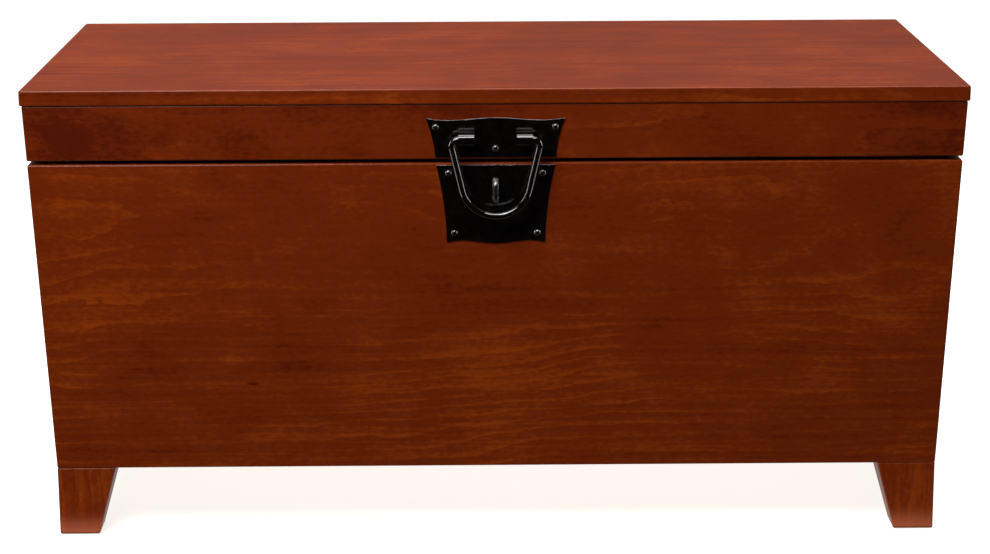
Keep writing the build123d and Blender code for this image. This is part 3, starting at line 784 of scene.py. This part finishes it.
@dataclass(frozen=True)
class Lamp:
    """One soft light: its place, its width and height, its power in watts and what it faces."""

    name: str
    place: Triple
    size: tuple[float, float]
    power: float
    target: Triple = (0.0, 0.0, 0.25)


ROOM_LAMPS = (
    Lamp("overhead", (0.0, 0.5, 2.5), (2.8, 1.6), 64.0),
    Lamp("key", (-0.75, -1.45, 1.75), (1.1, 0.8), 29.5),
    Lamp("rear_wall", (0.0, 3.4, 0.9), (7.0, 1.8), 5.5),
    Lamp("floor_glow", (0.0, 0.33, 0.003), (2.6, 1.14), 4.0, (0.0, 0.33, 1.0)),
)
CARDS = (
    Lamp("left_card", (-2.3, -0.2, 0.85), (0.9, 1.4), 36.0),
    Lamp("right_card", (2.3, -0.2, 0.85), (0.9, 1.4), 36.0),
    Lamp("front_strip", (0.0, -1.36, 2.42), (1.8, 0.45), 46.0, (0.0, -0.24, 0.41)),
    Lamp("left_floor_card", (-0.78, -0.10, 0.003), (0.45, 0.8), 3.2, (-0.78, -0.10, 1.0)),
    Lamp("right_floor_card", (0.78, -0.10, 0.003), (0.45, 0.8), 3.2, (0.78, -0.10, 1.0)),
)


@dataclass
class Studio:
    """The pale floor, the soft lights and the camera."""

    lens: float = 95.144
    sensor: float = 36.0
    far: float = 100.0
    stand: Triple = (-0.0206, -2.7243, 0.8769)
    yaw: float = math.radians(0.449)
    pitch: float = math.radians(13.673)
    roll: float = math.radians(-0.253)
    floor_size: float = 40.0
    floor_colour: Colour = (0.9, 0.9, 0.9)
    floor_glow: float = 0.78
    fill: float = 0.16
    backdrop: float = 1.0

    def camera(self) -> None:
        """Stand the camera in front of the chest, a little above its lid."""
        low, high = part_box("top_board")
        data = bpy.data.cameras.new("camera")
        data.sensor_width = self.sensor
        data.lens = self.lens
        data.clip_end = self.far
        camera = bpy.data.objects.new("camera", data)
        bpy.context.scene.collection.objects.link(camera)
        turn = Matrix.Rotation(-self.yaw, 4, "Z") @ Matrix.Rotation(math.pi / 2 - self.pitch, 4, "X")
        turn = turn @ Matrix.Rotation(self.roll, 4, "Z")
        middle = Vector((0.0, (low.y + high.y) / 2, 0.0))
        camera.matrix_world = Matrix.Translation(middle + Vector(self.stand)) @ turn
        bpy.context.scene.camera = camera

    def floor(self) -> None:
        """Lay the plain pale floor."""
        mesh = bpy.data.meshes.new("floor")
        work = bmesh.new()
        bmesh.ops.create_grid(work, x_segments=1, y_segments=1, size=self.floor_size / 2)
        work.to_mesh(mesh)
        work.free()
        floor = bpy.data.objects.new("floor", mesh)
        bpy.context.scene.collection.objects.link(floor)
        sheet = NodeSheet("pale_floor")
        sheet.give(sheet.shader.inputs["Base Color"], (*self.floor_colour, 1.0))
        sheet.give(sheet.shader.inputs["Emission Color"], (1.0, 1.0, 1.0, 1.0))
        sheet.set(roughness=0.9, specular_ior_level=0.0, emission_strength=self.floor_glow)
        mesh.materials.append(sheet.material)
        floor.visible_glossy = False
        floor.visible_diffuse = False

    def light(self, lamp: Lamp) -> bpy.types.Object:
        """Hang one soft light.

        Args:
            lamp: the light's place, size, power and aim.

        Returns:
            The light.
        """
        data = bpy.data.lights.new(lamp.name, "AREA")
        data.shape = "RECTANGLE"
        data.size, data.size_y = lamp.size
        data.energy = lamp.power
        light = bpy.data.objects.new(lamp.name, data)
        bpy.context.scene.collection.objects.link(light)
        light.visible_camera = False
        aim = (Vector(lamp.target) - Vector(lamp.place)).to_track_quat("-Z", "Y")
        light.matrix_world = Matrix.Translation(lamp.place) @ aim.to_matrix().to_4x4()
        LOG.info("hung %s", lamp.name)
        return light

    def cards(self) -> None:
        """Stand the bright cards, which show only in the black fittings."""
        group = bpy.data.collections.new("black_fittings")
        for node in Hardware().fittings():
            group.objects.link(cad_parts[node])
        for lamp in CARDS:
            card = self.light(lamp)
            card.visible_diffuse = False
            card.light_linking.receiver_collection = group

    def world(self) -> None:
        """Fill the room with even light, and keep the backdrop white."""
        world = bpy.data.worlds.new("studio")
        world.use_nodes = True
        bpy.context.scene.world = world
        tree = world.node_tree
        tree.nodes.clear()
        path = tree.nodes.new("ShaderNodeLightPath")
        output = tree.nodes.new("ShaderNodeOutputWorld")
        mix = tree.nodes.new("ShaderNodeMixShader")
        tree.links.new(path.outputs["Is Camera Ray"], mix.inputs[0])
        tree.links.new(self.sky(tree, self.fill), mix.inputs[1])
        tree.links.new(self.sky(tree, self.backdrop), mix.inputs[2])
        tree.links.new(mix.outputs[0], output.inputs["Surface"])
        world.cycles_visibility.glossy = False

    def sky(self, tree: bpy.types.NodeTree, strength: float) -> Socket:
        """An even white background.

        Args:
            tree: the world's nodes.
            strength: how bright it is.

        Returns:
            The background's output.
        """
        node = tree.nodes.new("ShaderNodeBackground")
        node.inputs["Color"].default_value = (1.0, 1.0, 1.0, 1.0)
        node.inputs["Strength"].default_value = strength
        return node.outputs[0]

    def build(self) -> None:
        """Set up the whole studio."""
        self.floor()
        self.world()
        for lamp in ROOM_LAMPS:
            self.light(lamp)
        self.cards()
        self.camera()


def main() -> None:
    """Dress the chest and set up the studio."""
    logging.basicConfig(level=logging.INFO, format="%(name)s: %(message)s")
    bpy.context.scene.view_settings.view_transform = "Standard"
    for section in (Woodwork(), InnerTimber(), Hardware()):
        section.dress()
    Studio().build()


if __name__ == "__main__":
    main()
